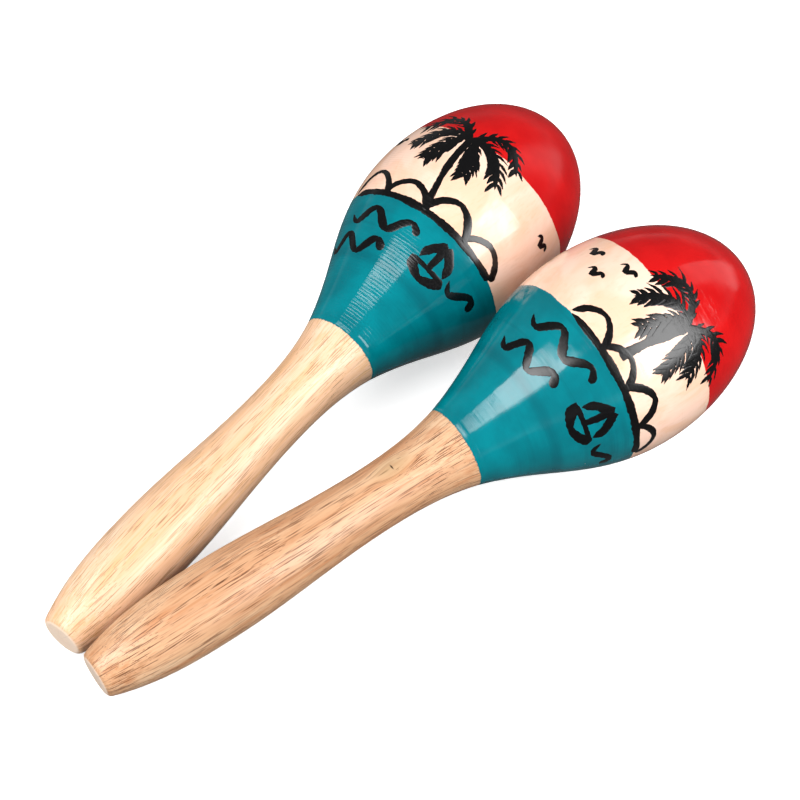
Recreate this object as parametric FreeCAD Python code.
import FreeCAD, Part
import json
import math
import os

# A pair of turned wooden maracas lying side by side on a table, in millimetres.
#
# Row frame: the table is Z = 0, +X runs from the grips to the heads midway between the two
# maracas, and the origin is the middle of the pair's footprint. The left maraca is at +Y.
# Each maraca is drawn upright in a frame of its own and then laid down: Z = 0 is the butt of
# its handle, +Z runs along its axis to the tip of the head, and -X becomes the side it lies on.

V = FreeCAD.Vector

# Handle: stations are measured along the axis from the butt unless the name says otherwise.
HANDLE_LENGTH = 145.2  # butt to the shoulder that the head sits on
BUTT_R = 8.0
BUTT_EDGE_R = 2.4
BUTT_SWELL_AT = 12.0  # where the grip rounds over towards the butt
BUTT_SWELL_R = 11.3
BELLY_AT = 47.0  # thickest place of the grip
BELLY_R = 14.0
WAIST_BELOW_SHOULDER = 35.0  # thinnest place
WAIST_R = 11.2
NECK_R = 15.1  # both the handle's shoulder and the head's foot
HANDLE_FLARE_SLOPE = 0.28  # radius gained per millimetre at the shoulder

# Tenon: the round peg on top of the handle, glued into the head.
TENON_R = 8.0
TENON_LENGTH = 12.5
TENON_CHAMFER = 0.8
TENON_END_GAP = 0.5  # how far the tenon's end stays below the floor of the chamber
GLUE_GAP = 0.1  # room for glue round the tenon and round the cap's spigot

# Head: a hollow egg, with lengths measured from the shoulder up.
SWELL_LENGTH = 68.8  # shoulder to the widest circle
HEAD_FLARE_SLOPE = 0.31
FLARE_AT = 24.8  # a circle on the way up, where the head opens fastest
FLARE_R = 25.3
FLARE_SLOPE = 0.49
HEAD_R = 37.8
DOME_LENGTH = 56.0  # widest circle to the tip
WALL = 5.0
FLOOR_FILLET_R = 3.0

# Seam: the cap is glued onto the bowl above the widest circle, over a spigot.
SEAM_ABOVE_WIDEST = 13.2
SPIGOT_LENGTH = 4.0

# Rattle charge: steel balls lying on the lowest side of the chamber.
PELLET_R = 2.5
PELLET_GAP = 0.3  # between pellets, and between pellet and wall
ROW_COUNTS = (3, 4, 5, 4, 3)  # pellets in each row on the wall, from the neck side up
TOP_COUNTS = (1, 2, 1, 2)  # pellets lying over the grooves between neighbouring rows

# How the two maracas lie.
HANDLE_TO_HANDLE_GAP = 0.4
HEAD_TO_HEAD_GAP = 4.0
STAGGER = 1.4  # how much further forward the left one lies

OUTLINE_SAMPLES = 240  # fineness of the outline where contact is searched for
OFFSET_SPANS = 8  # spans of the curve that stands in for the swell's exact offset
SIDES = {"left": 1, "right": -1}

shoulder_z = HANDLE_LENGTH
floor_z = shoulder_z + TENON_LENGTH + TENON_END_GAP
widest_z = shoulder_z + SWELL_LENGTH
seam_z = widest_z + SEAM_ABOVE_WIDEST
pellet_pitch = 2 * PELLET_R + PELLET_GAP


# ---------------------------------------------------------------- outlines


def curve_through(stops):
    """A smooth curve through (radius, station, slope) stops; a slope of None is left free."""
    points = [V(r, 0, z) for r, z, _ in stops]
    slopes = [V(slope or 0, 0, 1).normalize() for _, _, slope in stops]
    curve = Part.BSplineCurve()
    curve.interpolate(
        Points=points,
        Tangents=slopes,
        TangentFlags=[slope is not None for _, _, slope in stops],
    )
    return curve


def quarter_ellipse(radius, height, centre_z):
    """The arc from the widest point at centre_z up to the axis."""
    centre = V(0, 0, centre_z)
    top = V(0, 0, centre_z + height)
    side = V(radius, 0, centre_z)
    long_axis_end, short_axis_end = (top, side) if height > radius else (side, top)
    ellipse = Part.Ellipse(long_axis_end, short_axis_end, centre)
    start, end = sorted((ellipse.parameter(side), ellipse.parameter(top)))
    if end - start > math.pi:
        start, end = end, start + 2 * math.pi
    return Part.ArcOfEllipse(ellipse, start, end)


def handle_curve():
    return curve_through(
        [
            (BUTT_R, 0, None),
            (BUTT_SWELL_R, BUTT_SWELL_AT, None),
            (BELLY_R, BELLY_AT, 0),
            (WAIST_R, shoulder_z - WAIST_BELOW_SHOULDER, 0),
            (NECK_R, shoulder_z, HANDLE_FLARE_SLOPE),
        ]
    )


def swell_curve():
    return curve_through(
        [
            (NECK_R, shoulder_z, HEAD_FLARE_SLOPE),
            (FLARE_R, shoulder_z + FLARE_AT, FLARE_SLOPE),
            (HEAD_R, widest_z, 0),
        ]
    )


def inward(along):
    """The unit normal that points from an outline towards the axis."""
    return V(-along.z, 0, along.x)


def inner_swell_curve():
    """The swell, moved in by the wall along its own normal."""
    moved = [point + inward(along) * WALL for point, along in samples(swell_curve(), OFFSET_SPANS)]
    free = [(p.x, p.z, None) for p in moved[:-1]]
    return curve_through(free + [(moved[-1].x, moved[-1].z, 0)])


def outer_dome():
    return quarter_ellipse(HEAD_R, DOME_LENGTH, widest_z)


def inner_dome():
    return quarter_ellipse(HEAD_R - WALL, DOME_LENGTH - WALL, widest_z)


def samples(curve, count):
    """(point, unit tangent) pairs along a curve from its lower end to its upper end."""
    first, last = curve.FirstParameter, curve.LastParameter
    steps = [first + (last - first) * i / count for i in range(count + 1)]
    found = [(curve.value(u), curve.tangent(u)[0]) for u in steps]
    if found[0][0].z < found[-1][0].z:
        return found
    return [(point, -along) for point, along in reversed(found)]


def turned(curves):
    """The solid swept by outline curves round the Z axis, closed by flat ends where they stop."""
    edges = [c.toShape() for c in curves]
    ends = [p for e in edges for p in (e.Vertexes[0].Point, e.Vertexes[-1].Point)]
    low = min(ends, key=lambda p: p.z)
    high = max(ends, key=lambda p: p.z)
    bottom, top = V(0, 0, low.z), V(0, 0, high.z)
    edges.append(Part.makeLine(bottom, low))
    if high.x > 1e-6:
        edges.append(Part.makeLine(top, high))
    edges.append(Part.makeLine(bottom, top))
    wire = Part.Wire(Part.__sortEdges__(edges))
    solid = Part.Face(wire).revolve(V(0, 0, 0), V(0, 0, 1), 360)
    return solid if solid.Volume > 0 else solid.reversed()


def ring_edges(solid, z):
    """The circular edges of a turned solid that lie at station z."""
    return [e for e in solid.Edges if all(abs(v.Z - z) < 1e-4 for v in e.Vertexes)
            and abs(e.BoundBox.ZLength) < 1e-3]


# ---------------------------------------------------------------- one maraca's pieces


def handle():
    grip = turned([handle_curve()])
    grip = grip.makeFillet(BUTT_EDGE_R, ring_edges(grip, 0))
    tenon = Part.makeCylinder(TENON_R, TENON_LENGTH, V(0, 0, shoulder_z))
    tenon = tenon.makeChamfer(TENON_CHAMFER, ring_edges(tenon, shoulder_z + TENON_LENGTH))
    return grip.fuse(tenon).removeSplitter()


def chamber():
    hollow = turned([inner_swell_curve(), inner_dome()])
    below = Part.makeCylinder(2 * HEAD_R, floor_z)
    hollow = hollow.cut(below)
    return hollow.makeFillet(FLOOR_FILLET_R, ring_edges(hollow, floor_z))


def head_shell():
    egg = turned([swell_curve(), outer_dome()])
    return egg.cut(chamber())


def spigot_radius():
    """Half way through the wall at the seam."""
    rise = SEAM_ABOVE_WIDEST
    outer = HEAD_R * math.sqrt(1 - (rise / DOME_LENGTH) ** 2)
    inner = (HEAD_R - WALL) * math.sqrt(1 - (rise / (DOME_LENGTH - WALL)) ** 2)
    return (outer + inner) / 2


def head_bowl():
    reach = 2 * DOME_LENGTH
    above = Part.makeCylinder(2 * HEAD_R, reach, V(0, 0, seam_z))
    spigot = Part.makeCylinder(spigot_radius(), SPIGOT_LENGTH, V(0, 0, seam_z))
    bore = Part.makeCylinder(TENON_R + GLUE_GAP, floor_z - shoulder_z, V(0, 0, shoulder_z))
    return head_shell().cut(above.cut(spigot)).cut(bore)


def head_cap():
    below = Part.makeCylinder(2 * HEAD_R, seam_z)
    socket = Part.makeCylinder(
        spigot_radius() + GLUE_GAP, SPIGOT_LENGTH + GLUE_GAP, V(0, 0, seam_z)
    )
    return head_shell().cut(below.fuse(socket))


# ---------------------------------------------------------------- rattle charge


def pellet_seats():
    """Where a pellet lying on the wall can have its centre, as (radius, station) samples."""
    wall = samples(inner_swell_curve(), OUTLINE_SAMPLES) + samples(inner_dome(), OUTLINE_SAMPLES)
    centres = [point + inward(along) * (PELLET_R + PELLET_GAP) for point, along in wall]
    return [(c.x, c.z) for c in centres if c.z > floor_z + PELLET_R and c.x > PELLET_R]


def row_places(tilt):
    """(radius, station) of each row's ring: the middle one lies lowest, the rest a pitch apart."""
    seats = pellet_seats()
    lowest = min(
        range(len(seats)),
        key=lambda i: seats[i][1] * math.sin(tilt) - seats[i][0] * math.cos(tilt),
    )
    middle = len(ROW_COUNTS) // 2
    places = {middle: seats[lowest]}
    for step in (-1, 1):
        at = lowest
        row = middle
        while 0 <= row + step < len(ROW_COUNTS):
            here = seats[at]
            while math.dist(here, seats[at]) < pellet_pitch:
                at += step
            row += step
            places[row] = seats[at]
    return [places[n] for n in range(len(ROW_COUNTS))]


def fan(count, radius):
    """Angles that spread count pellets one pitch apart about the lowest line of a ring."""
    step = 2 * math.asin(pellet_pitch / (2 * radius))
    return [(i - (count - 1) / 2) * step for i in range(count)]


def pellet(radius, z, angle):
    """A ball at this angle from the side that the maraca lies on."""
    return Part.makeSphere(PELLET_R, V(-radius * math.cos(angle), radius * math.sin(angle), z))


def pellet_rows(tilt):
    rows = []
    for count, (radius, z) in zip(ROW_COUNTS, row_places(tilt)):
        rows.append(Part.makeCompound([pellet(radius, z, a) for a in fan(count, radius)]))
    return rows


def top_places(tilt):
    """(radius, station, angle) of each upper pellet, clear of both rows at any turn of them."""
    rings = [V(radius, 0, z) for radius, z in row_places(tilt)]
    places = []
    for count, low, high in zip(TOP_COUNTS, rings, rings[1:]):
        span = high - low
        lift = math.sqrt(pellet_pitch**2 - (span.Length / 2) ** 2)
        centre = (low + high) / 2 + inward(span.normalize()) * lift
        places += [(centre.x, centre.z, angle) for angle in fan(count, centre.x)]
    return places


# ---------------------------------------------------------------- laying the pair down


def outline():
    """(station, radius) samples of the whole outside, butt to tip."""
    found = []
    for curve in (handle_curve(), swell_curve(), outer_dome()):
        found += [(p.z, p.x) for p, _ in samples(curve, OUTLINE_SAMPLES)]
    return found


def rises_above(low, middle, high):
    """Whether the middle one of three (station, radius) samples is outside the line of the rest."""
    run, lift = high[0] - low[0], high[1] - low[1]
    return (middle[1] - low[1]) * run > (middle[0] - low[0]) * lift


def bridge():
    """The two samples that a straight edge touches when it spans from the grip to the head."""
    hull = []
    for place in sorted(outline()):
        while len(hull) > 1 and not rises_above(hull[-2], hull[-1], place):
            hull.pop()
        hull.append(place)
    return max(zip(hull, hull[1:]), key=lambda ends: ends[1][0] - ends[0][0])


class Pose:
    """Where one maraca lies: its axis, its upward side and the place of its butt."""

    def __init__(self, side):
        (z1, r1), (z2, r2) = bridge()
        self.tilt = math.atan((r2 - r1) / (z2 - z1))
        spread = (HEAD_TO_HEAD_GAP - HANDLE_TO_HANDLE_GAP) / 2
        yaw = self.tilt + math.asin(spread / (z2 - z1))
        across = side * math.sin(yaw)
        rise = math.sin(self.tilt)
        self.axis = V(math.sqrt(1 - across**2 - rise**2), across, rise)
        self.up = (V(0, 0, 1) - self.axis * rise).normalize()
        height = max(r * math.cos(self.tilt) - z * rise for z, r in outline())
        reach = max(
            r * math.cos(yaw) - z * math.sin(yaw) for z, r in outline() if z < shoulder_z
        )
        self.butt = V(side * STAGGER / 2, side * (reach + HANDLE_TO_HANDLE_GAP / 2), height)

    def box(self, way):
        """How far the maraca reaches along a unit vector."""
        lean = math.sqrt(1 - self.axis.dot(way) ** 2)
        return max((self.butt + self.axis * z).dot(way) + r * lean for z, r in outline())

    def placement(self):
        x, z = self.up, self.axis
        y = z.cross(x)
        b = self.butt
        rows = (x.x, y.x, z.x, b.x, x.y, y.y, z.y, b.y, x.z, y.z, z.z, b.z, 0, 0, 0, 1)
        return FreeCAD.Placement(FreeCAD.Matrix(*rows))


def lay_down():
    """Both poses, moved so that the pair's footprint is centred on the origin."""
    poses = {name: Pose(side) for name, side in SIDES.items()}
    for way in (V(1, 0, 0), V(0, 1, 0)):
        high = max(p.box(way) for p in poses.values())
        low = -max(p.box(-way) for p in poses.values())
        for p in poses.values():
            p.butt -= way * ((high + low) / 2)
    return poses


# ---------------------------------------------------------------- build


def pieces(tilt):
    """Every node of one maraca in its own upright frame."""
    found = {"handle": handle(), "head_bowl": head_bowl(), "head_cap": head_cap()}
    for n, row in enumerate(pellet_rows(tilt), 1):
        found[f"pellet_row_{n}"] = row
    for n, (radius, z, angle) in enumerate(top_places(tilt), 1):
        found[f"pellet_top_{n}"] = pellet(radius, z, angle)
    return found


def metres(v):
    return [round(c / 1000, 6) for c in (v.x, v.y, v.z)]


def facts(pose):
    """What the joints and mounts of one maraca need, in the row frame and in metres."""
    return {
        "butt": metres(pose.butt),
        "belly": metres(pose.butt + pose.axis * BELLY_AT),
        "axis": [round(c, 9) for c in pose.axis],
        "up": [round(c, 9) for c in pose.up],
        "toss": [
            round(2 * radius * math.cos(angle) / 1000, 5)
            for radius, _, angle in top_places(pose.tilt)
        ],
    }


def main():
    os.makedirs("parts", exist_ok=True)
    for name, pose in lay_down().items():
        placement = pose.placement()
        for node, shape in pieces(pose.tilt).items():
            laid = shape.copy()
            laid.Placement = placement
            laid.exportStep(f"parts/{name}_{node}.step")
        print(json.dumps({name: facts(pose)}))


main()
